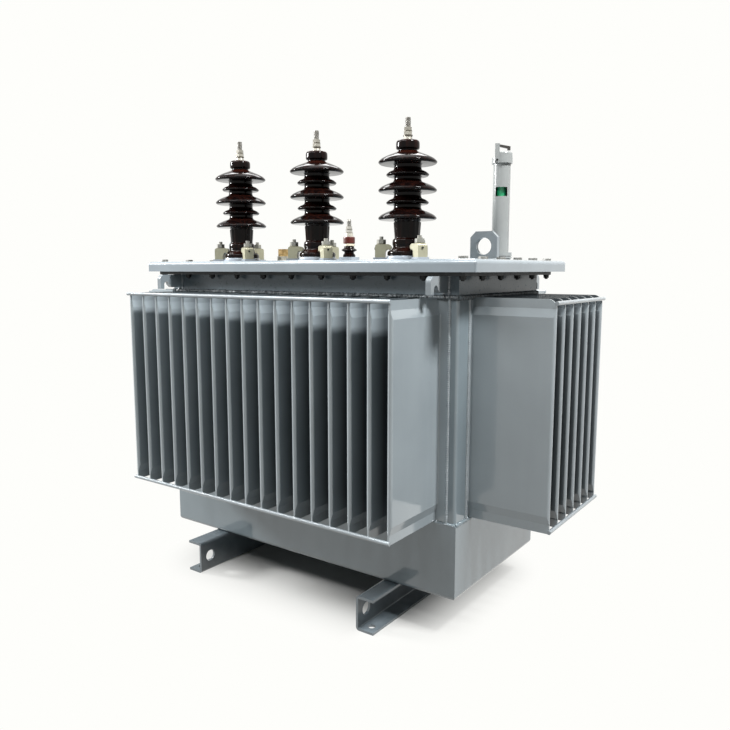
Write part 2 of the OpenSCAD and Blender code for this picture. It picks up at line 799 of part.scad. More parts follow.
// Cap with a collar, cut flat at its left behind an upright strap
strap_w = 11;
strap_t = 6;
strap_x = -0.35 * gauge_cap_d;
strap_y = -0.37 * gauge_cap_d;
cap_round = 4;
cap_line = 0.5;
module gauge_cap() {
    collar_h = gauge_cap_h * 0.52;
    top_r = gauge_cap_d / 2 - cap_line;
    color(resin) to_gauge() translate([0, 0, gauge_foot_h + gauge_h]) {
        cylinder(d = gauge_cap_d, h = collar_h);
        difference() {
            rotate_extrude() polygon(concat([[0, 0], [top_r, 0]],
                arc([top_r - cap_round, gauge_cap_h - cap_round], cap_round, 0, 90, 5), [[0, gauge_cap_h]]));
            translate([strap_x - gauge_cap_d, -gauge_cap_d, collar_h])
                cube([gauge_cap_d, 2 * gauge_cap_d, gauge_cap_h]);
        }
        translate([strap_x, strap_y - strap_t, 0]) cube([strap_w, strap_t, gauge_cap_h + strap_h]);
    }
}

// Dark bar that slopes from the strap's back towards the right and turns down over the cap
bar_t = 4.5;
bar_w = 9;
bar_fall = 7;
toe_w = 7.5;
toe_gap = 3;
module gauge_handle() {
    left = strap_x + strap_w - 2 * bar_t;
    right = 0.38 * gauge_cap_d;
    low = strap_h - bar_fall;
    color([0.20, 0.20, 0.19]) to_gauge() translate([0, strap_y, gauge_foot_h + gauge_h + gauge_cap_h])
        rotate([90, 0, 180]) mirror([1, 0, 0]) linear_extrude(bar_w) polygon([
            [left, strap_h - bar_t], [right - toe_w, low - bar_t], [right - toe_w, toe_gap],
            [right, toe_gap], [right, low], [left, strap_h]]);
}

module to_filler() {
    translate([filler_x, filler_y, cover_top]) children();
}

module filler_seat() {
    color(tin) to_filler() cylinder(d = filler_seat_d, h = filler_seat_t);
}

module filler_cap() {
    color([0.78, 0.63, 0.31]) to_filler() translate([0, 0, filler_seat_t]) hexagon(filler_af, filler_h);
}

left_skid();
right_skid();
tank_base();
oil_fill();
front_wall();
rear_wall();
left_wall();
right_wall();
front_left_post();
front_right_post();
rear_left_post();
rear_right_post();
front_rods();
rear_rods();
left_rods();
right_rods();
top_frame();
tank_flange();
cover();
front_hooks();
rear_hooks();
left_lug();
right_lug();
hv_seat(1);  // hv_seat_1
hv_seat(2);  // hv_seat_2
hv_seat(3);  // hv_seat_3
hv_porcelain(1);  // hv_porcelain_1
hv_porcelain(2);  // hv_porcelain_2
hv_porcelain(3);  // hv_porcelain_3
hv_terminal(1);  // hv_terminal_1
hv_terminal(2);  // hv_terminal_2
hv_terminal(3);  // hv_terminal_3
hv_clamps(1);  // hv_clamps_1
hv_clamps(2);  // hv_clamps_2
hv_clamps(3);  // hv_clamps_3
lv_seat();
lv_porcelain();
lv_collar();
lv_terminal();
gauge_foot();
gauge_tube();
sight_glass();
gauge_cap();
gauge_handle();
filler_seat();
filler_cap();
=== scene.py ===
import json
import math

import bpy
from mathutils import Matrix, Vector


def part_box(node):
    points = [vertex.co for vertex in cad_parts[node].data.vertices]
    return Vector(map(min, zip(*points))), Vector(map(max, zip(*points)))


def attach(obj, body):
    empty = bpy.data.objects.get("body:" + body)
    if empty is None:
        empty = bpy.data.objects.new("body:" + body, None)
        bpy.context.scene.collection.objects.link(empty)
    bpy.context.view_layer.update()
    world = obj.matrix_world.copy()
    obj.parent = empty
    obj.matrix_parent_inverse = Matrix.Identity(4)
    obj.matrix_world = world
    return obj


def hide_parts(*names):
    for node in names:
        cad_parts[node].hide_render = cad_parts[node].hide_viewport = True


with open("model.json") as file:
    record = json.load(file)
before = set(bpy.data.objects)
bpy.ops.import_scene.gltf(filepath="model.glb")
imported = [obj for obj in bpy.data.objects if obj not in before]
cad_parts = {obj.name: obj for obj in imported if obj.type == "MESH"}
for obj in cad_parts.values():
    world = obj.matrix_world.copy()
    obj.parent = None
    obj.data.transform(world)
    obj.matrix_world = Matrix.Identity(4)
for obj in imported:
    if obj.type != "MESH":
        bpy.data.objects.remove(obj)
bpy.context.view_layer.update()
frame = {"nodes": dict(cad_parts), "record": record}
cadNodes = frame["nodes"]
print("frame loaded:", len(cadNodes), "nodes")


# Small tools

def hexColour(code):  # sRGB hex to the linear colour that the shaders use
    parts = [int(code[i:i + 2], 16) / 255 for i in (1, 3, 5)]
    return [c / 12.92 if c <= 0.04045 else ((c + 0.055) / 1.055) ** 2.4 for c in parts] + [1]


def addNode(tree, kind, inputs=None, **settings):  # one node with its settings, values and links
    node = tree.nodes.new("ShaderNode" + kind)
    for name, value in settings.items():
        setattr(node, name, value)
    for socket, value in (inputs or {}).items():
        if isinstance(value, bpy.types.NodeSocket):
            tree.links.new(value, node.inputs[socket])
        else:
            node.inputs[socket].default_value = value
    return node


def newMaterial(name):
    material = bpy.data.materials.new(name)
    material.use_nodes = True
    material.node_tree.nodes.clear()
    return material, material.node_tree


def editMode():
    bpy.ops.object.mode_set(mode="EDIT")


def objectMode():
    bpy.ops.object.mode_set(mode="OBJECT")


def clearSelection():
    if bpy.context.mode != "OBJECT":
        objectMode()
    bpy.ops.object.select_all(action="DESELECT")


def choose(pieces):  # these alone, the first one active
    clearSelection()
    for piece in pieces:
        piece.select_set(True)
    bpy.context.view_layer.objects.active = pieces[0]


def pick(piece, kind, test):  # leaves edit mode open with the points or edges that pass the test selected
    editMode()
    bpy.ops.mesh.select_mode(type=kind)
    bpy.ops.mesh.select_all(action="DESELECT")
    objectMode()
    mesh = piece.data
    if kind == "VERT":
        for vertex in mesh.vertices:
            vertex.select = test(vertex.co)
    else:
        for edge in mesh.edges:
            edge.select = test(*[mesh.vertices[i].co for i in edge.vertices])
    editMode()


def settle(piece, place=(0, 0, 0), turn=(0, 0, 0)):  # moves a piece, then puts its place into its mesh
    choose([piece])
    piece.location = place
    piece.rotation_euler = [math.radians(a) for a in turn]
    bpy.ops.object.transform_apply(location=True, rotation=True, scale=True)


def copyAt(piece, place, turn=(0, 0, 0)):  # a copy with a mesh of its own
    twin = piece.copy()
    twin.data = piece.data.copy()
    bpy.context.scene.collection.objects.link(twin)
    settle(twin, place, turn)
    return twin


def joinAll(pieces, name):
    choose(pieces)
    if len(pieces) > 1:
        bpy.ops.object.join()
    pieces[0].name = name
    pieces[0].data.name = name
    return pieces[0]


def removePattern(piece):
    bpy.data.objects.remove(piece, do_unlink=True)


def dress(piece, material, smoothAngle=30):
    choose([piece])
    bpy.ops.object.shade_smooth_by_angle(angle=math.radians(smoothAngle))
    piece.data.materials.clear()
    piece.data.materials.append(material)
    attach(piece, "root")


def roundBlock(name, width, height, chamfer, sides=24):  # a disc or shank on z = 0, its upper edge eased
    clearSelection()
    bpy.ops.mesh.primitive_cylinder_add(vertices=sides, radius=width / 2, depth=height, location=(0, 0, height / 2))
    block = bpy.context.object
    settle(block, block.location)
    pick(block, "EDGE", lambda a, b: min(a.z, b.z) > height / 2)
    bpy.ops.mesh.bevel(offset=chamfer, segments=2, affect="EDGES")
    objectMode()
    block.name = name
    return block


def hexBlock(name, acrossFlats, height, chamfer):
    return roundBlock(name, acrossFlats / math.cos(math.pi / 6), height, chamfer, sides=6)


# Camera, floor and light

cameraLook = {
    "place": (1.1788, -1.5562, 0.8258),
    "turn": (82.331, 0, 35.659),  # degrees
    "lens": 34.94,                # millimetres, as the sensor
    "sensor": 36,
}


def makeCamera():
    data = bpy.data.cameras.new("photoCamera")
    data.lens = cameraLook["lens"]
    data.sensor_width = cameraLook["sensor"]
    camera = bpy.data.objects.new("photoCamera", data)
    camera.location = cameraLook["place"]
    camera.rotation_euler = [math.radians(a) for a in cameraLook["turn"]]
    bpy.context.scene.collection.objects.link(camera)
    bpy.context.scene.camera = camera


studioLook = {
    "white": "#FEFEFB",         # the ground and the backdrop as the camera sees them
    "worldStrength": 0.05,      # light that the backdrop sends to the object
}


def seenDirectly(tree):  # 1 as the camera sees it, also in a reflection or through glass, 0 for the light it sends
    path = addNode(tree, "LightPath").outputs
    seen = addNode(tree, "Math", {0: path["Is Camera Ray"], 1: path["Is Glossy Ray"]}, operation="MAXIMUM")
    seen = addNode(tree, "Math", {0: seen.outputs[0], 1: path["Is Transmission Ray"]}, operation="MAXIMUM")
    return seen.outputs[0]


floorLook = {
    "radius": 14,
    "sides": 96,
    "paper": "#B8B8B6",         # matt paper that takes the shadow under the object
    "covered": (0.27, 0.15, 0),  # half the ground under the tank that is in full shadow, metres
    "fade": 0.24,               # metres past that ground
    "bounce": 0.24,             # what the white ground sends back to the object
}


def makeFloor():
    look = floorLook
    clearSelection()
    bpy.ops.mesh.primitive_circle_add(vertices=look["sides"], radius=look["radius"], fill_type="NGON")
    floor = bpy.context.object
    floor.name = "paperFloor"
    material, tree = newMaterial("mattPaperFloor")
    place = addNode(tree, "TexCoord").outputs["Object"]
    side = addNode(tree, "VectorMath", {0: place}, operation="ABSOLUTE")
    past = addNode(tree, "VectorMath", {0: side.outputs[0], 1: look["covered"]}, operation="SUBTRACT")
    past = addNode(tree, "VectorMath", {0: past.outputs[0], 1: (0, 0, 0)}, operation="MAXIMUM")
    reach = addNode(tree, "VectorMath", {0: past.outputs[0]}, operation="LENGTH").outputs["Value"]
    fade = addNode(tree, "MapRange", {"Value": reach, "From Min": 0, "From Max": look["fade"]},
                   interpolation_type="SMOOTHSTEP")
    level = addNode(tree, "MapRange", {"Value": seenDirectly(tree), "To Min": look["bounce"], "To Max": 1})
    matt = addNode(tree, "BsdfDiffuse", {"Color": hexColour(look["paper"])})
    glow = addNode(tree, "Emission", {"Color": hexColour(studioLook["white"]), "Strength": level.outputs[0]})
    blend = addNode(tree, "MixShader", {0: fade.outputs["Result"], 1: matt.outputs[0], 2: glow.outputs[0]})
    addNode(tree, "OutputMaterial", {"Surface": blend.outputs[0]})
    floor.data.materials.append(material)


lampLooks = {
    "overheadBox": {"place": (0, 0, 3.3), "aim": (0, 0, 0.85), "size": (2.0, 1.4), "watts": 25},
    "rightKey": {"place": (2.1, -0.15, 3.45), "aim": (0.35, -0.1, 0.75), "size": (0.8, 0.42), "watts": 190},
    "frontBox": {"place": (-0.8, -2.1, 3.5), "aim": (-0.2, -0.2, 0.7), "size": (1.0, 0.7), "watts": 32},
    "straightBox": {"place": (0.35, -2.7, 3.4), "aim": (0.1, -0.3, 0.6), "size": (1.2, 0.6), "watts": 38},
    "leftStrip": {"place": (-2.2, -1.6, 2.6), "aim": (-2.2, -0.3, 0.8), "size": (2.3, 0.3), "watts": 45},
    "sideStrip": {"place": (-3.6, -1.3, 2.0), "aim": (0, -0.4, 0.55), "size": (0.7, 0.8), "watts": 215},
    "backStrip": {"place": (-1.08, 1.19, 2.9), "aim": (0, 0, 1.0), "size": (2.4, 0.7), "watts": 45},
}


def makeLight():
    for name, look in lampLooks.items():
        data = bpy.data.lights.new(name, "AREA")
        data.shape = "RECTANGLE"
        data.size, data.size_y = look["size"]
        data.energy = look["watts"]
        lamp = bpy.data.objects.new(name, data)
        lamp.location = look["place"]
        away = [a - b for a, b in zip(look["place"], look["aim"])]
        flat = math.hypot(away[0], away[1])
        lamp.rotation_euler = (math.atan2(flat, away[2]), 0, math.atan2(away[1], away[0]) + math.pi / 2)
        bpy.context.scene.collection.objects.link(lamp)
    world = bpy.data.worlds.new("whiteStudio")
    bpy.context.scene.world = world
    world.use_nodes = True
    tree = world.node_tree
    tree.nodes.clear()
    white = hexColour(studioLook["white"])
    soft = addNode(tree, "Background", {"Color": white, "Strength": studioLook["worldStrength"]})
    shown = addNode(tree, "Background", {"Color": white, "Strength": 1})
    blend = addNode(tree, "MixShader", {0: seenDirectly(tree), 1: soft.outputs[0], 2: shown.outputs[0]})
    addNode(tree, "OutputWorld", {"Surface": blend.outputs[0]})
    bpy.context.scene.view_settings.view_transform = "Standard"
    print("camera, floor and light made")


# Materials

noiseSpan = {"From Min": 0.3, "From Max": 0.7}  # most of a noise pattern lies between these
paintLooks = {
    "skid_paint": {"colour": "#6D777D", "dark": "#5B656B", "cloudMm": 90, "peelMm": 5, "waveMm": 0, "rough": 0.20},
    "tank_paint": {"colour": "#849197", "dark": "#78858B", "cloudMm": 180, "peelMm": 5, "waveMm": 120, "rough": 0.15},
    # painted light: the fins get a lighter copy of the tank paint so that their lit sides come out brighter
    "fin_paint": {"colour": "#A0AAAF", "dark": "#949EA3", "cloudMm": 220, "peelMm": 5, "waveMm": 140, "rough": 0.14},
    "rod_paint": {"colour": "#97A1A6", "dark": "#8A9297", "cloudMm": 60, "peelMm": 5, "waveMm": 0, "rough": 0.18},
    "cover_paint": {"colour": "#8F9AA1", "dark": "#848F96", "cloudMm": 160, "peelMm": 5, "waveMm": 150, "rough": 0.18},
    "lug_paint": {"colour": "#868F94", "dark": "#788186", "cloudMm": 70, "peelMm": 5, "waveMm": 0, "rough": 0.20},
    "seat_metal": {"colour": "#A9B2BC", "dark": "#949DA6", "cloudMm": 40, "peelMm": 4, "waveMm": 0, "rough": 0.32},
    # painted shade: a darker copy of the tank paint for the top frame, which sits in the shade under the cover
    "shadedFramePaint": {"colour": "#768289", "dark": "#68747B", "cloudMm": 120, "peelMm": 5, "waveMm": 90, "rough": 0.30,
                   "coat": 0},
    # painted highlight: a lighter copy of the paint for the upright weld beads, which catch the light
    "highlightedSeamBead": {"colour": "#AAB4B9", "dark": "#8E989D", "cloudMm": 25, "peelMm": 4, "waveMm": 0, "rough": 0.22},
}
sprayLook = {
    "runMm": (45, 45, 600),      # width and length of the runs down the walls
    "runShare": 0.3,
    "coatSpan": {"From Min": 0.45, "From Max": 0.85},
    "spotMm": 9,
    "dust": "#B9BDB8",
    "dustSpan": {"From Min": 0.6, "From Max": 0.75, "To Max": 0.12},
    "glossSpread": (-0.05, 0.06),
    "peel": {"Strength": 0.10, "Distance": 0.0006},
    "wave": {"Strength": 0.35, "Distance": 0.004},
    "ior": 1.5,
    "coatRough": 0.05,
}
# painted shade: between the fins the colour darkens to a dark grey over the given depth (metres), standing for the
# shade deep in the valleys
finValleyShadeLook = {
    "primer": "#50575B",
    "front_wall": {"out": "Y", "along": "X", "lastFin": 0.408, "reach": 0.050},
    "rear_wall": {"out": "Y", "along": "X", "lastFin": 0.408, "reach": 0.050},
    "right_wall": {"out": "X", "along": "Y", "lastFin": 0.147, "reach": 0.014},
    "left_wall": {"out": "X", "along": "Y", "lastFin": 0.147, "reach": 0.014},
}


def sprayedEnamel(name, look, shadeZone=None, tip=0.0):
    # Alkyd enamel sprayed on steel sheet: an even blue-grey skin with soft broad gloss,
    # faint clouds from uneven coats, thin runs down the walls and a fine orange peel.
    spray = sprayLook
    material, tree = newMaterial(name)
    place = addNode(tree, "TexCoord").outputs["Object"]
    cloud = addNode(tree, "TexNoise", {"Vector": place, "Scale": 1000 / look["cloudMm"], "Detail": 3})
    drawn = addNode(tree, "Mapping", {"Vector": place, "Scale": [1000 / mm for mm in spray["runMm"]]})
    runs = addNode(tree, "TexNoise", {"Vector": drawn.outputs[0], "Scale": 1, "Detail": 2})
    spots = addNode(tree, "TexNoise", {"Vector": place, "Scale": 1000 / spray["spotMm"], "Detail": 4,
                                       "Roughness": 0.7})
    uneven = addNode(tree, "Math", {0: runs.outputs[0], 1: spray["runShare"], 2: cloud.outputs[0]},
                     operation="MULTIPLY_ADD")
    uneven = addNode(tree, "MapRange", {"Value": uneven.outputs[0], **spray["coatSpan"]})
    tone = addNode(tree, "Mix", {0: uneven.outputs[0], 6: hexColour(look["dark"]), 7: hexColour(look["colour"])},
                   data_type="RGBA")
    dust = addNode(tree, "MapRange", {"Value": spots.outputs[0], **spray["dustSpan"]})
    tone = addNode(tree, "Mix", {0: dust.outputs[0], 6: tone.outputs[2], 7: hexColour(spray["dust"])},
                   data_type="RGBA")
    # painted shade: darker towards the wall between the fins
    if shadeZone:
        side = addNode(tree, "VectorMath", {0: place}, operation="ABSOLUTE")
        side = addNode(tree, "SeparateXYZ", {0: side.outputs[0]}).outputs
        deep = addNode(tree, "MapRange", {"Value": side[shadeZone["out"]], "From Min": tip, "From Max": tip - shadeZone["reach"]})
        within = addNode(tree, "Math", {0: side[shadeZone["along"]], 1: shadeZone["lastFin"]}, operation="LESS_THAN")
        paintedLightAndShade = addNode(tree, "Math", {0: deep.outputs[0], 1: within.outputs[0]}, operation="MULTIPLY")
        tone = addNode(tree, "Mix", {0: paintedLightAndShade.outputs[0], 6: tone.outputs[2], 7: hexColour(finValleyShadeLook["primer"])},
                       data_type="RGBA")
    less, more = spray["glossSpread"]
    gloss = addNode(tree, "MapRange", {"Value": spots.outputs[0], **noiseSpan,
                                       "To Min": look["rough"] + less, "To Max": look["rough"] + more})
    peel = addNode(tree, "TexNoise", {"Vector": place, "Scale": 1000 / look["peelMm"], "Detail": 1})  # drawn coarse
    skin = addNode(tree, "Bump", {"Height": peel.outputs[0], **spray["peel"]})
    if look["waveMm"]:  # sheet that is not quite flat
        wave = addNode(tree, "TexNoise", {"Vector": place, "Scale": 1000 / look["waveMm"], "Detail": 1})
        skin = addNode(tree, "Bump", {"Height": wave.outputs[0], "Normal": skin.outputs[0], **spray["wave"]})
    shader = addNode(tree, "BsdfPrincipled", {"Base Color": tone.outputs[2], "Roughness": gloss.outputs[0],
                                              "IOR": spray["ior"], "Coat Weight": look.get("coat", 1),
                                              "Coat Roughness": spray["coatRough"], "Coat IOR": spray["ior"],
                                              "Normal": skin.outputs[0], "Coat Normal": skin.outputs[0]})
    addNode(tree, "OutputMaterial", {"Surface": shader.outputs[0]})
    return material


glazeLook = {
    "body": "#0A0505",
    # painted light: the redder brown of the upward slopes near the core
    "paintedLightAndShade": "#35170F",
    "slopeSpan": {"From Min": 0.1, "From Max": 0.85},  # from nearly upright to nearly level
    "paintedLightReach": 1.7,            # the painted light ends at this many core radii
    "paintedLightShare": 0.7,
    "smallCore": 0.46,           # core of the small bushing, as a share of its sheds
    "mottleMm": 12,
    "streakMm": (9, 9, 120),
    "streakSpan": {"From Min": 0.45, "From Max": 0.7, "To Max": 0.3},
    "rippleMm": 25,
    "ripple": {"Strength": 0.2, "Distance": 0.0015},
    "rough": 0.05,
    "glossSpread": (-0.03, 0.05),
    "ior": 1.5,
    "specular": 0.12,
}


def brownGlaze(name, axis, core):
    # Wet-process porcelain with a fired manganese glaze: nearly black brown under a glassy skin, with faint ripples
    # from dipping.
    # Painted light: the upward slopes near the core are turned redder brown, as lit from above.
    look = glazeLook
    material, tree = newMaterial(name)
    place = addNode(tree, "TexCoord").outputs["Object"]
    facing = addNode(tree, "SeparateXYZ", {0: addNode(tree, "NewGeometry").outputs["Normal"]}).outputs["Z"]
    centred = addNode(tree, "Mapping", {"Vector": place, "Location": (-axis[0], -axis[1], 0)})
    flat = addNode(tree, "VectorMath", {0: centred.outputs[0], 1: (1, 1, 0)}, operation="MULTIPLY")
    reach = addNode(tree, "VectorMath", {0: flat.outputs[0]}, operation="LENGTH").outputs["Value"]
    mottle = addNode(tree, "TexNoise", {"Vector": place, "Scale": 1000 / look["mottleMm"], "Detail": 4})
    # painted light: surfaces that face upwards near the core get the redder tone
    upward = addNode(tree, "MapRange", {"Value": facing, **look["slopeSpan"]})
    near = addNode(tree, "MapRange", {"Value": reach, "From Min": core * look["paintedLightReach"], "From Max": core,
                                      "To Max": look["paintedLightShare"]})
    paintedLightAndShade = addNode(tree, "Math", {0: upward.outputs[0], 1: near.outputs[0]}, operation="MULTIPLY")
    drawn = addNode(tree, "Mapping", {"Vector": place, "Scale": [1000 / mm for mm in look["streakMm"]]})
    streak = addNode(tree, "TexNoise", {"Vector": drawn.outputs[0], "Scale": 1, "Detail": 2})
    streak = addNode(tree, "MapRange", {"Value": streak.outputs[0], **look["streakSpan"]})
    patchy = addNode(tree, "MapRange", {"Value": mottle.outputs[0], **noiseSpan, "To Min": 0.5})
    paintedLightAndShade = addNode(tree, "Math", {0: paintedLightAndShade.outputs[0], 1: patchy.outputs[0]}, operation="MULTIPLY")
    # the glaze streaks, a real tone, are merged into the painted light
    paintedLightAndShade = addNode(tree, "Math", {0: paintedLightAndShade.outputs[0], 1: streak.outputs[0]}, operation="MAXIMUM")
    tone = addNode(tree, "Mix", {0: paintedLightAndShade.outputs[0], 6: hexColour(look["body"]), 7: hexColour(look["paintedLightAndShade"])},
                   data_type="RGBA")
    ripple = addNode(tree, "TexNoise", {"Vector": place, "Scale": 1000 / look["rippleMm"], "Detail": 1})
    skin = addNode(tree, "Bump", {"Height": ripple.outputs[0], **look["ripple"]})
    less, more = look["glossSpread"]
    gloss = addNode(tree, "MapRange", {"Value": mottle.outputs[0],
                                       "To Min": look["rough"] + less, "To Max": look["rough"] + more})
    shader = addNode(tree, "BsdfPrincipled", {"Base Color": tone.outputs[2], "Roughness": gloss.outputs[0],
                                              "IOR": look["ior"], "Specular IOR Level": look["specular"],
                                              "Normal": skin.outputs[0]})
    addNode(tree, "OutputMaterial", {"Surface": shader.outputs[0]})
    return material


metalLooks = {
    "terminal_tin": {"colour": "#8F8D87", "dark": "#6E6C66", "patchMm": 7, "rough": 0.4, "metallic": 0.4},
    "clamp_zinc": {"colour": "#C3C0A4", "dark": "#9C9A80", "patchMm": 14, "rough": 0.42, "metallic": 0.3},
    "filler_steel": {"colour": "#D3CFC0", "dark": "#A9A596", "patchMm": 9, "rough": 0.4, "metallic": 0.4},
    "filler_brass": {"colour": "#DDBE86", "dark": "#B58F55", "patchMm": 9, "rough": 0.35, "metallic": 0.7},
    "blackBolt": {"colour": "#121515", "dark": "#080A0A", "patchMm": 6, "rough": 0.5, "metallic": 0.4},
    "dullBolt": {"colour": "#8B8B87", "dark": "#62625E", "patchMm": 8, "rough": 0.42, "metallic": 0.3},
    # painted shade: the weld round the frame's foot is near black, standing for the shade in the gap above the fins;
    # its lighter patches are painted glints
    "shadedFrameSeam": {"colour": "#6F787C", "dark": "#1B2123", "patchMm": 7, "rough": 0.42, "metallic": 0},
}
# colours up from the foot of a part, each to a height in millimetres
metalBands = {
    "hv_terminal": [(9, "#A19E93"), (11.5, "#4C463A"), (19, "#9C998E"), (21.5, "#504B3E"), (29, "#8D8A80"),
                    (60, "#7A7873")],
    "lv_terminal": [(10, "#CBC7BA"), (12, "#6E6A5E"), (19.5, "#B5B2A9"), (22, "#6B685F"), (29.5, "#ACA9A0"),
                    (60, "#8A8882")],
    "hv_clamps": [(30.5, "#A5A28B"), (33, "#6E6C60"), (60, "#8F8E89")],
}
plateLook = {
    "lineMm": 1.2,               # tool lines, drawn coarse
    "roundScale": 60,            # how they break up round the axis, to the metre
    "patchSpan": {"From Min": 0.35, "From Max": 0.68},
    "bandDulling": 0.3,
    "glossSpread": 0.08,
    "lines": {"Strength": 0.15, "Distance": 0.0004},
}


def platedMetal(name, look, bands=None, foot=0.0):
    # Turned and plated fastener metal: a dull silk gloss with fine tool lines round the axis,
    # and patches where the plating has yellowed or dulled. Bands part washers, nuts and stud.
    plate = plateLook
    material, tree = newMaterial(name)
    place = addNode(tree, "TexCoord").outputs["Object"]
    patch = addNode(tree, "TexNoise", {"Vector": place, "Scale": 1000 / look["patchMm"], "Detail": 4, "Roughness": 0.6})
    drawn = addNode(tree, "Mapping", {"Vector": place, "Scale": (plate["roundScale"], plate["roundScale"],
                                                                 1000 / plate["lineMm"])})
    lines = addNode(tree, "TexNoise", {"Vector": drawn.outputs[0], "Scale": 1, "Detail": 2})
    fade = addNode(tree, "MapRange", {"Value": patch.outputs[0], **plate["patchSpan"]})
    if bands:
        height = addNode(tree, "SeparateXYZ", {0: place}).outputs["Z"]
        top = bands[-1][0]
        level = addNode(tree, "MapRange", {"Value": height, "From Min": foot, "From Max": foot + top / 1000})
        ramp = addNode(tree, "ValToRGB", {0: level.outputs[0]})
        stops = ramp.color_ramp
        stops.interpolation = "CONSTANT"
        low = 0
        for i, (high, code) in enumerate(bands):
            stop = stops.elements[0] if i == 0 else stops.elements.new(low / top)
            stop.position = low / top
            stop.color = hexColour(code)
            low = high
        stops.elements.remove(stops.elements[-1])  # the white end that a new ramp brings
        dull = addNode(tree, "Math", {0: fade.outputs[0], 1: plate["bandDulling"]}, operation="MULTIPLY")
        tone = addNode(tree, "Mix", {0: dull.outputs[0], 6: ramp.outputs[0], 7: hexColour(look["dark"])},
                       data_type="RGBA")
    else:
        tone = addNode(tree, "Mix", {0: fade.outputs[0], 6: hexColour(look["colour"]), 7: hexColour(look["dark"])},
                       data_type="RGBA")
    gloss = addNode(tree, "MapRange", {"Value": lines.outputs[0], **noiseSpan,
                                       "To Min": look["rough"] - plate["glossSpread"],
                                       "To Max": look["rough"] + plate["glossSpread"]})
    skin = addNode(tree, "Bump", {"Height": lines.outputs[0], **plate["lines"]})
    shader = addNode(tree, "BsdfPrincipled", {"Base Color": tone.outputs[2], "Roughness": gloss.outputs[0],
                                              "Metallic": look["metallic"], "Normal": skin.outputs[0]})
    addNode(tree, "OutputMaterial", {"Surface": shader.outputs[0]})
    return material


plasticLooks = {
    "gauge_resin": {"colour": "#9EA1A0", "dark": "#939796", "grainMm": 3, "rough": 0.20},
    "collar_red": {"colour": "#561609", "dark": "#3E0F06", "grainMm": 4, "rough": 0.34},
    "sight_green": {"colour": "#37C488", "dark": "#22A86E", "grainMm": 12, "rough": 0.16},
    "handle_dark": {"colour": "#3A3733", "dark": "#2A2825", "grainMm": 3, "rough": 0.45},
    "transformer_oil": {"colour": "#B38B3F", "dark": "#8F6A28", "grainMm": 60, "rough": 0.12},
    # painted shade: near black for the shaded flange under the cover
    "flangeShadeBlack": {"colour": "#14191B", "dark": "#0C1011", "grainMm": 5, "rough": 0.5},
    "collarRing": {"colour": "#D9D2BF", "dark": "#C2B9A2", "grainMm": 4, "rough": 0.35},
}
mouldLook = {
    "flowGrains": 8,             # grains to one streak of the flow
    "glossSpread": (-0.05, 0.07),
    "grain": {"Strength": 0.08, "Distance": 0.0004},
    "ior": 1.48,
}


def mouldedPlastic(name, look):
    # Injection-moulded resin: an even colour with a faint flow pattern and a fine grain that softens the gloss.
    mould = mouldLook
    material, tree = newMaterial(name)
    place = addNode(tree, "TexCoord").outputs["Object"]
    flow = addNode(tree, "TexNoise", {"Vector": place, "Scale": 1000 / (look["grainMm"] * mould["flowGrains"]),
                                      "Detail": 3})
    grain = addNode(tree, "TexNoise", {"Vector": place, "Scale": 1000 / look["grainMm"], "Detail": 2})
    tone = addNode(tree, "Mix", {0: flow.outputs[0], 6: hexColour(look["dark"]), 7: hexColour(look["colour"])},
                   data_type="RGBA")
    less, more = mould["glossSpread"]
    gloss = addNode(tree, "MapRange", {"Value": grain.outputs[0], **noiseSpan,
                                       "To Min": look["rough"] + less, "To Max": look["rough"] + more})
    skin = addNode(tree, "Bump", {"Height": grain.outputs[0], **mould["grain"]})
    shader = addNode(tree, "BsdfPrincipled", {"Base Color": tone.outputs[2], "Roughness": gloss.outputs[0],
                                              "IOR": mould["ior"], "Normal": skin.outputs[0]})
    addNode(tree, "OutputMaterial", {"Surface": shader.outputs[0]})
    return material


def middle(node):  # plan position of a node's middle
    low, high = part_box(node)
    return ((low.x + high.x) / 2, (low.y + high.y) / 2)


finishes = {}


def finishCadNodes():
    for slotName, look in paintLooks.items():
        finishes[slotName] = sprayedEnamel("sprayedEnamel_" + slotName, look)
    for slotName, look in metalLooks.items():
        finishes[slotName] = platedMetal("platedMetal_" + slotName, look)
    for slotName, look in plasticLooks.items():
        finishes[slotName] = mouldedPlastic("mouldedResin_" + slotName, look)
    for part in frame["record"]["subparts"]:
        name = part["node"]
        kind = name.rstrip("_123")
        slotName = part["material_slot"]
        low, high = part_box(name)
        if slotName == "brown_glaze":
            finish = brownGlaze("brownGlaze_" + name, middle(name), glazeLook["smallCore"] * (high.x - low.x) / 2)
        elif kind in metalBands:
            finish = platedMetal("platedMetal_" + name, metalLooks[slotName], metalBands[kind], low.z)
        elif name in finValleyShadeLook:
            shadeZone = finValleyShadeLook[name]
            tip = max(abs(getattr(corner, shadeZone["out"].lower())) for corner in (low, high))
            finish = sprayedEnamel("sprayedEnamel_" + name, paintLooks[slotName], shadeZone, tip)
        elif name == "tank_flange":
            finish = finishes["flangeShadeBlack"]  # painted shade: the flange is given a near-black finish, standing for the shadow under the cover's edge
        elif name == "top_frame":
            # painted shade: the darker frame paint
            finish = finishes["shadedFramePaint"]
        else:
            finish = finishes[slotName]
        cadNodes[name].data.materials.clear()
        cadNodes[name].data.materials.append(finish)
    print("CAD nodes finished")


# Porcelain of the three large bushings

bushings = ["hv_porcelain_1", "hv_porcelain_2", "hv_porcelain_3"]
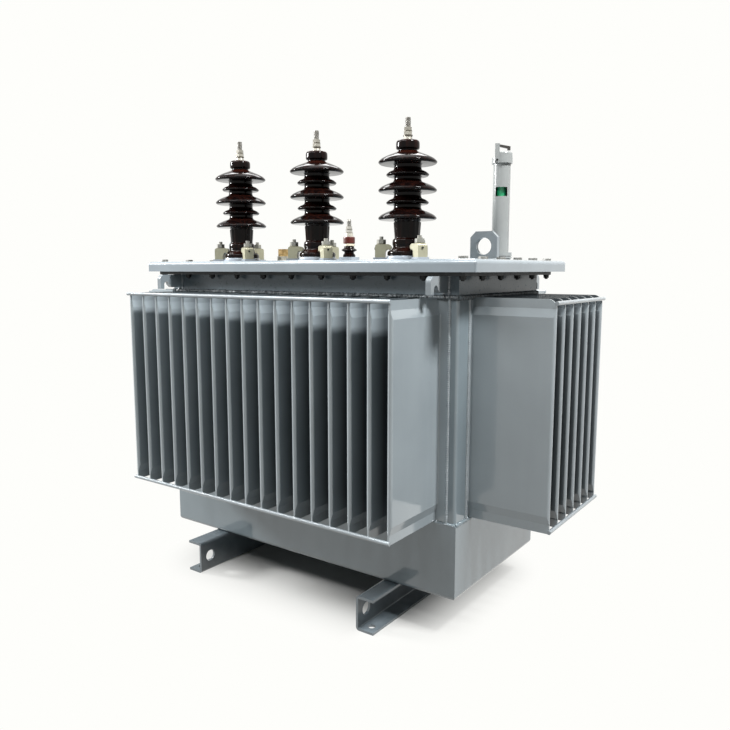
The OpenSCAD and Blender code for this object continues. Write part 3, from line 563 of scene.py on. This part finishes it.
# outlines in millimetres: radius, height and rounding of each corner
porcelainLook = {
    "sides": 84,             # six to each of the fourteen ribs
    "ribSides": 6,
    "ribPhase": {0: 1.085, 1: 1.055, 5: 1.055},
    "ribZone": (35, 71),
    "foot": [(43, -7, 0), (46.5, -6, 1), (46.5, 3.5, 4.5), (37, 7, 3), (32.5, 14, 3), (35.5, 21, 6),
             (34, 31, 3), (30, 33.5, 1.5), (30, 72, 1.5), (32, 74, 1.5)],
    "large": [(32, -6, 5), (65.5, -6.5, 2.8), (69.5, -2, 3), (63, 5, 4), (50.5, 11.5, 6), (32, 18, 6.5)],
    "small": [(32, -4.8, 4.5), (47, -5.2, 2.4), (51, -0.8, 2.8), (45, 4.8, 3.5), (32, 10, 5)],
    "largeAt": (82, 145.6, 209.2),
    "smallAt": (116.3, 179.9),
    "topSlope": (22, 22.6, 4),
    "cap": [(22, 235.3, 1), (26, 236.2, 1.5), (27.5, 239, 2), (27.5, 256.9, 11), (12, 256.9, 2)],
    "cornerSteps": 5,
    "legShare": 0.48,        # of a straight run that one rounding may take
    "glazeCore": 0.032,      # metres
    "smoothAngle": 50,
}


def easedPath(corners):  # a run of corners, each with its own rounding, as close points
    path = [corners[0][:2]]
    for before, corner, after in zip(corners, corners[1:], corners[2:]):
        ends = []
        for other in (before, after):
            way = (other[0] - corner[0], other[1] - corner[1])
            reach = math.hypot(*way)
            step = min(corner[2], reach * porcelainLook["legShare"]) / reach
            ends.append((corner[0] + way[0] * step, corner[1] + way[1] * step))
        for i in range(porcelainLook["cornerSteps"] + 1):
            t = i / porcelainLook["cornerSteps"]
            path.append(tuple(ends[0][k] * (1 - t) ** 2 + corner[k] * 2 * t * (1 - t) + ends[1][k] * t ** 2
                              for k in (0, 1)))
    path.append(corners[-1][:2])
    return path


def porcelainPath(look):
    sheds = [("large", z) for z in look["largeAt"]] + [("small", z) for z in look["smallAt"]]
    corners = list(look["foot"])
    for kind, z in sorted(sheds, key=lambda shed: shed[1]):
        corners += [(r, z + rise, ease) for r, rise, ease in look[kind]]
    r, rise, ease = look["topSlope"]  # the top shed runs on to the thinner neck
    corners[-1] = (r, look["largeAt"][-1] + rise, ease)
    return easedPath(corners + look["cap"])


def makePorcelain():
    look = porcelainLook
    path = [(r / 1000, z / 1000) for r, z in porcelainPath(look)]
    clearSelection()
    bpy.ops.mesh.primitive_circle_add(vertices=look["sides"], radius=path[0][0], fill_type="NGON")
    body = bpy.context.object
    settle(body, (0, 0, path[0][1]))
    editMode()
    bpy.ops.mesh.select_all(action="SELECT")
    for (r, z), (nextR, nextZ) in zip(path, path[1:]):  # one ring after another, up the outline
        bpy.ops.mesh.extrude_region_move(TRANSFORM_OT_translate={"value": (0, 0, nextZ - z)})
        bpy.ops.transform.resize(value=(nextR / r, nextR / r, 1), center_override=(0, 0, nextZ))
    bpy.ops.mesh.select_all(action="SELECT")
    bpy.ops.mesh.normals_make_consistent(inside=False)
    low, high = look["ribZone"]
    step = 2 * math.pi / look["sides"]
    for phase, swell in look["ribPhase"].items():
        pick(body, "VERT", lambda co: low < co.z * 1000 < high
             and round(math.atan2(co.y, co.x) / step) % look["ribSides"] == phase)
        bpy.ops.transform.resize(value=(swell, swell, 1), center_override=(0, 0, 0))
    objectMode()
    for number, node in enumerate(bushings, 1):
        x, y = middle(node)
        piece = copyAt(body, (x, y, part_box(node)[0].z))
        piece.name = piece.data.name = "ribbedPorcelain_%d" % number
        glaze = brownGlaze("brownGlaze_bushing%d" % number, (x, y), look["glazeCore"])
        dress(piece, glaze, look["smoothAngle"])
        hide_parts(node)
    removePattern(body)
    print("porcelain made")


# Small fittings on the cover

fittingLook = {
    "clampAngles": (90, 210, 330),
    "clampHeel": 0.075,      # from the bushing's axis to the clamp's outer face
    "clampRise": 0.027,
    "screw": {"acrossFlats": 0.005, "height": 0.0025, "chamfer": 0.0005},
    "screwSink": 0.0005,
    "gaugeTurn": 25,
    "gaugeStrap": (-0.012, -0.0245),  # across and out from the tube's axis
    "gaugeRise": 0.007,
    "seatRing": {"width": 0.097, "height": 0.010, "chamfer": 0.002, "sides": 64},  # pale ring under a large bushing
    "seatSink": 0.0003,
    "collarRing": {"width": 0.033, "height": 0.0065, "chamfer": 0.0015, "sides": 48},
}


def makeFittings():
    look = fittingLook
    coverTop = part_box("cover")[1].z
    screw = hexBlock("screwPattern", **look["screw"])
    screws = []
    reach = look["clampHeel"] - look["screwSink"]
    for node in bushings:
        x, y = middle(node)
        for angle in look["clampAngles"]:
            place = (x + reach * math.cos(math.radians(angle)), y + reach * math.sin(math.radians(angle)),
                     coverTop + look["clampRise"])
            screws.append(copyAt(screw, place, (0, 90, angle)))
    turn = math.radians(look["gaugeTurn"])
    x, y = middle("gauge_tube")
    across, out = look["gaugeStrap"]
    place = (x + across * math.cos(turn) - out * math.sin(turn), y + across * math.sin(turn) + out * math.cos(turn),
             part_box("gauge_cap")[0].z + look["gaugeRise"])
    screws.append(copyAt(screw, place, (0, 90, look["gaugeTurn"] - 90)))
    removePattern(screw)
    dress(joinAll(screws, "smallScrews"), finishes["blackBolt"])
    rings = []
    for node in bushings:
        ring = roundBlock("seatRing", **look["seatRing"])
        settle(ring, (*middle(node), coverTop - look["seatSink"]))
        rings.append(ring)
    dress(joinAll(rings, "seatRings"), finishes["seat_metal"])
    ring = roundBlock("collarRing", **look["collarRing"])
    settle(ring, (*middle("lv_collar"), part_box("lv_collar")[0].z - look["collarRing"]["height"]))
    dress(ring, finishes["collarRing"])
    print("small fittings made")


# Cover fasteners

boltLook = {
    "acrossFlats": 0.019,
    "headHeight": 0.0058,    # low heads
    "washerWidth": 0.022,
    "washerThick": 0.0015,
    "nutFlats": 0.013,
    "nutWasherWidth": 0.017,
    "nutHeight": 0.0065,
    "shankWidth": 0.008,
    "shankSides": 16,
    "shankEnd": 0.003,       # bolt end below its nut
    "chamfer": 0.0009,
    "sink": 0.0005,          # into what carries it
    "endInset": 0.042,       # from the cover's end to the bolt row
    "sideInset": 0.028,
    "endStep": 0.092,
    "endCount": 6,
    "sideStep": 0.095,
    "sideCount": 9,
    "headTurn": (17, 40),    # degrees from bolt to bolt and from end to end, as they were tightened
    "nutTurn": (11, 23),     # from head to nut, and from nut to nut along a side
}


def makeCoverBolts():
    look = boltLook
    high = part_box("cover")[1]
    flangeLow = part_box("tank_flange")[0].z
    washer = roundBlock("headWasher", look["washerWidth"], look["washerThick"], look["chamfer"] / 2)
    head = hexBlock("boltHead", look["acrossFlats"], look["headHeight"], look["chamfer"])
    settle(head, (0, 0, look["washerThick"] - look["sink"]))
    boltHead = joinAll([head, washer], "boltHeadPattern")
    nutWasher = roundBlock("nutWasher", look["nutWasherWidth"], look["washerThick"], look["chamfer"] / 2)
    nut = hexBlock("boltNut", look["nutFlats"], look["nutHeight"], look["chamfer"])
    shank = roundBlock("boltEnd", look["shankWidth"], look["nutHeight"] + look["shankEnd"], look["chamfer"],
                       look["shankSides"])
    settle(nut, (0, 0, look["washerThick"]))
    settle(shank, (0, 0, look["washerThick"]))
    boltNut = joinAll([nut, nutWasher, shank], "boltNutPattern")
    heads = []
    nuts = []
    boltStep, endTurn = look["headTurn"]
    underHead, nutStep = look["nutTurn"]
    for side in (-1, 1):
        x = side * (high.x - look["endInset"])
        for i in range(look["endCount"]):
            y = (i - (look["endCount"] - 1) / 2) * look["endStep"]
            turn = boltStep * i + endTurn * side
            heads.append(copyAt(boltHead, (x, y, high.z - look["sink"]), (0, 0, turn)))
            nuts.append(copyAt(boltNut, (x, y, flangeLow), (180, 0, turn + underHead)))
        y = side * (high.y - look["sideInset"])
        for i in range(look["sideCount"]):
            x = (i - (look["sideCount"] - 1) / 2) * look["sideStep"]
            nuts.append(copyAt(boltNut, (x, y, flangeLow), (180, 0, nutStep * i)))
    removePattern(boltHead)
    removePattern(boltNut)
    dress(joinAll(heads, "coverBoltHeads"), finishes["dullBolt"])
    dress(joinAll(nuts, "coverNuts"), finishes["blackBolt"])
    print("cover fasteners made")


# Weld beads

weldLook = {
    "sides": 8,
    "ringStep": 0.0014,
    "ripple": 3,             # rings to one ripple
    "swell": 1.28,
    "smoothAngle": 80,
    "post": {"radius": 0.0034, "rough": 0.0006, "seed": 3},
    "postShort": 0.004,      # by how much an upright seam is shorter than its post
    "postTurns": (31, 57),   # degrees, so that no two seams show the same ripples
    "frame": {"radius": 0.0052, "rough": 0.0013, "seed": 5},
    "base": {"radius": 0.0042, "rough": 0.0009, "seed": 8},
    "lug": {"radius": 0.0038, "rough": 0.0009, "seed": 12},
    "hook": {"radius": 0.0038, "rough": 0.0009, "seed": 17},
    "hookThick": 0.013,
}


def weldBead(name, length, run, nextSeed=0):  # along z, from its middle
    look = weldLook
    same = 1e-6  # metres
    cuts = math.ceil(math.sqrt(length / look["ringStep"])) - 1
    clearSelection()
    bpy.ops.mesh.primitive_cylinder_add(vertices=look["sides"], radius=run["radius"], depth=length)
    bead = bpy.context.object
    for _ in range(2):  # cut into lengths, then each length again
        pick(bead, "EDGE", lambda a, b: abs(a.z - b.z) > same and abs(a.x - b.x) + abs(a.y - b.y) < same)
        bpy.ops.mesh.subdivide(number_cuts=cuts)
        objectMode()
    step = length / (cuts + 1) ** 2
    pick(bead, "VERT", lambda co: round((co.z + length / 2) / step) % look["ripple"] == 0)
    bpy.ops.transform.resize(value=(look["swell"], look["swell"], 1), center_override=(0, 0, 0))
    bpy.ops.mesh.select_all(action="SELECT")
    bpy.ops.transform.vertex_random(offset=run["rough"], uniform=0, normal=0, seed=run["seed"] + nextSeed)
    objectMode()
    bead.name = name
    return bead


def makeWelds():
    look = weldLook
    wallLow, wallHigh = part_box("front_right_post")
    frameLow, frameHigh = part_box("top_frame")
    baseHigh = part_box("tank_base")[1]
    midZ = (wallLow.z + wallHigh.z) / 2
    beads = []
    # upright seams beside the corner posts
    upright = weldBead("uprightBead", wallHigh.z - wallLow.z - look["postShort"], look["post"])
    frontTurn, endTurn = look["postTurns"]
    for sideX in (-1, 1):
        for sideY in (-1, 1):
            beads.append(copyAt(upright, (sideX * wallLow.x, sideY * frameHigh.y, midZ),
                                (0, 0, frontTurn * sideX * sideY)))
            beads.append(copyAt(upright, (sideX * frameHigh.x, sideY * -wallHigh.y, midZ), (180, 0, endTurn * sideX)))
    removePattern(upright)
    dress(joinAll(beads, "uprightWelds"), finishes["highlightedSeamBead"], look["smoothAngle"])
    # long seams round the foot of the top frame and round the lower box
    for name, run, z, finish in (("frameWelds", look["frame"], frameLow.z, "shadedFrameSeam"),
                                 ("baseWelds", look["base"], baseHigh.z, "tank_paint")):
        long = weldBead("longBead", frameHigh.x - frameLow.x, run)
        short = weldBead("shortBead", frameHigh.y - frameLow.y, run, nextSeed=1)
        beads = []
        for side in (-1, 1):
            beads.append(copyAt(long, (0, side * frameHigh.y, z), (0, 90, 0)))
            beads.append(copyAt(short, (side * frameHigh.x, 0, z), (90, 0, 0)))
        removePattern(long)
        removePattern(short)
        dress(joinAll(beads, name), finishes[finish], look["smoothAngle"])
    # feet of the lifting lugs
    lugLow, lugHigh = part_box("right_lug")
    lugBeads = []
    foot = weldBead("lugBead", lugHigh.x - lugLow.x, look["lug"])
    for sideX in (-1, 1):
        for y in (lugLow.y, lugHigh.y):
            lugBeads.append(copyAt(foot, (sideX * (lugLow.x + lugHigh.x) / 2, y, lugLow.z), (0, 90, 0)))
    removePattern(foot)
    # roots of the four hooks
    hookLow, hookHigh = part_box("front_hooks")
    root = weldBead("hookBead", hookHigh.z - hookLow.z, look["hook"])
    for sideX in (-1, 1):
        for sideY in (-1, 1):
            for x in (hookHigh.x, hookHigh.x - look["hookThick"]):
                lugBeads.append(copyAt(root, (sideX * x, sideY * frameHigh.y, (hookLow.z + hookHigh.z) / 2)))
    removePattern(root)
    dress(joinAll(lugBeads, "lugWelds"), finishes["lug_paint"], look["smoothAngle"])
    print("welds made")


# Threads on the studs

threadLook = {
    "pitch": 0.00175,
    "depth": 0.0009,
    "sunk": 0.35,            # share of the depth that the tooth sits in the stud
    "corners": 4,            # of the tooth's section
    "steps": 18,             # to one turn
}


def threadSleeve(name, radius, length):  # one helical tooth wound up a stud, standing on z = 0
    look = threadLook
    turns = int(length / look["pitch"]) - 1
    clearSelection()
    bpy.ops.mesh.primitive_circle_add(vertices=look["corners"], radius=look["depth"], fill_type="NOTHING")
    sleeve = bpy.context.object
    editMode()
    bpy.ops.mesh.select_all(action="SELECT")
    bpy.ops.transform.rotate(value=math.pi / 2, orient_axis="X", center_override=(0, 0, 0))
    bpy.ops.transform.translate(value=(radius - look["depth"] * look["sunk"], 0, look["depth"]))
    objectMode()
    screw = sleeve.modifiers.new("wind", "SCREW")
    screw.axis = "Z"
    screw.screw_offset = look["pitch"]
    screw.iterations = turns
    screw.steps = look["steps"]
    screw.render_steps = look["steps"]
    bpy.ops.object.modifier_apply(modifier="wind")
    editMode()
    bpy.ops.mesh.select_all(action="SELECT")
    bpy.ops.mesh.fill_holes(sides=look["corners"])
    bpy.ops.mesh.normals_make_consistent(inside=False)
    objectMode()
    sleeve.name = name
    return sleeve


def makeThreads():
    sleeves = []
    for mount in frame["record"]["mounts"]:
        if mount["kind"] != "pin":
            continue
        radius = mount["dims"]["r_mm"] / 1000
        length = mount["dims"]["length_mm"] / 1000
        x, y, z = mount["pos_m"]
        sleeve = threadSleeve("studThread", radius, length)
        settle(sleeve, (x, y, z - length / 2))
        sleeves.append(sleeve)
    dress(joinAll(sleeves, "studThreads"), finishes["terminal_tin"])
    print("threads made")


makeCamera()
makeFloor()
makeLight()
finishCadNodes()
makePorcelain()
makeFittings()
makeCoverBolts()
makeWelds()
makeThreads()
